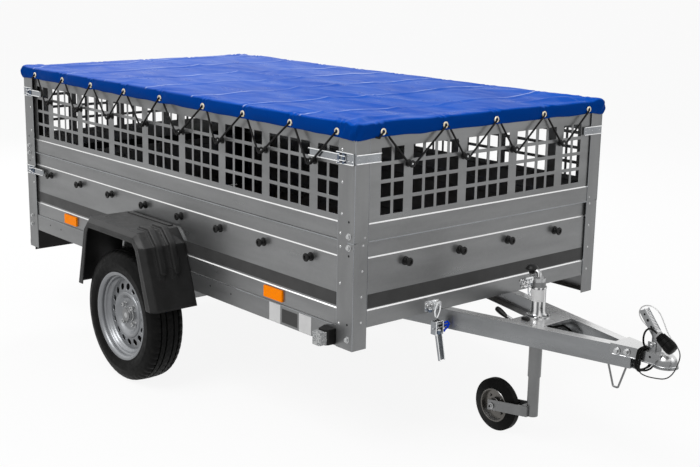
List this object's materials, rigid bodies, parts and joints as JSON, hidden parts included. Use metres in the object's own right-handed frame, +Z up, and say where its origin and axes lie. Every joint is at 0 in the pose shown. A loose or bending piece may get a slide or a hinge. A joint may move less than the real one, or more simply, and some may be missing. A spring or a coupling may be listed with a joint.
{
  "type": "utility trailer",
  "caption": "Low tipping box trailer with mesh side extensions, a laced flat cover, a drop tailgate, wheels under faceted mudguards, a V drawbar, a ball coupling and a swivelling jockey wheel.",
  "frame": {"origin": "on the ground, midway between the coupling's tip and the tailgate's hinges, in the trailer's middle plane", "axes": "+X forward to the coupling, +Y to the trailer's left, +Z up"},
  "size_m": [3.2876, 1.6966, 1.1955],
  "materials": {
    "zinc": "galvanised sheet and tube",
    "plywood": "dark coated plywood",
    "dark_plastic": "moulded",
    "red_lens": "gloss lens",
    "clear_lens": "ribbed clear lens",
    "amber_lens": "prismatic reflector",
    "guard_plastic": "moulded, slightly rough",
    "cover_fabric": "coated woven sheet, blue",
    "tyre": "matt",
    "rubber_black": "matt",
    "rim_silver": "silver paint"
  },
  "bodies": {
    "box": {"corner_posts": "zinc", "side_board_left": "zinc", "side_board_right": "zinc", "front_board": "zinc", "side_panel_left": "zinc", "side_panel_right": "zinc", "front_panel": "zinc", "rear_panel": "zinc", "side_rails": "zinc", "floor_bearers": "zinc", "rear_sill": "zinc", "sill_hinges": "zinc", "tip_brackets": "zinc", "latch_catches": "zinc", "corner_toggles": "zinc", "floor_panel": "plywood", "lamp_board": "dark_plastic", "plastic_brackets": "dark_plastic", "rear_lamps": "red_lens", "marker_lamps": "clear_lens", "side_reflectors": "amber_lens", "mudguard_left": "guard_plastic", "mudguard_right": "guard_plastic", "cover": "cover_fabric", "cover_hem": "cover_fabric"},
    "tailgate": {"tailgate": "zinc", "gate_hinges": "zinc", "gate_strikers": "zinc"},
    "chassis": {"drawbar_rail_left": "zinc", "drawbar_rail_right": "zinc", "tip_pins": "zinc", "drawbar_plate": "zinc", "axle_beam": "zinc", "suspension_arms": "zinc", "jockey_clamp": "zinc", "clamp_lever": "zinc", "coupling_housing": "zinc", "coupling_handle": "zinc", "wire_rest": "zinc", "tip_latches": "zinc", "safety_cable": "zinc", "lever_grips": "dark_plastic", "trailer_plug": "dark_plastic", "trailer_lead": "rubber_black", "lead_coil": "rubber_black"},
    "wheel_left": {"tyre_left": "tyre", "rim_left": "rim_silver", "hub_left": "zinc"},
    "wheel_right": {"tyre_right": "tyre", "rim_right": "rim_silver", "hub_right": "zinc"},
    "jockey_mast": {"jockey_tube": "zinc", "jockey_crank": "zinc", "crank_knob": "dark_plastic"},
    "jockey_leg": {"jockey_leg": "zinc", "jockey_fork": "zinc"},
    "jockey_wheel": {"jockey_tyre": "rubber_black", "jockey_rim": "rim_silver"}
  },
  "joints": [
    {"name": "box_tip", "type": "hinge", "parent": "chassis", "child": "box", "pos_m": [-0.4755, 0, 0.448], "axis": [0, -1, 0], "range_deg": [0, 14]},
    {"name": "tailgate_drop", "type": "hinge", "parent": "box", "child": "tailgate", "pos_m": [-1.6295, 0, 0.487], "axis": [0, -1, 0], "range_deg": [0, 180]},
    {"name": "wheel_left_spin", "type": "hinge", "parent": "chassis", "child": "wheel_left", "pos_m": [-0.4555, 0.7595, 0.273], "axis": [0, 1, 0], "continuous": true},
    {"name": "wheel_right_spin", "type": "hinge", "parent": "chassis", "child": "wheel_right", "pos_m": [-0.4555, -0.7595, 0.273], "axis": [0, 1, 0], "continuous": true},
    {"name": "jockey_slide", "type": "slide", "parent": "chassis", "child": "jockey_mast", "axis": [0, 0, 1], "range_m": [-0.025, 0.15]},
    {"name": "jockey_swivel", "type": "hinge", "parent": "jockey_mast", "child": "jockey_leg", "pos_m": [1.0445, 0, 0.3], "axis": [0, 0, 1], "continuous": true},
    {"name": "jockey_spin", "type": "hinge", "parent": "jockey_leg", "child": "jockey_wheel", "pos_m": [0.8745, 0, 0.1], "axis": [0, 1, 0], "continuous": true}
  ]
}
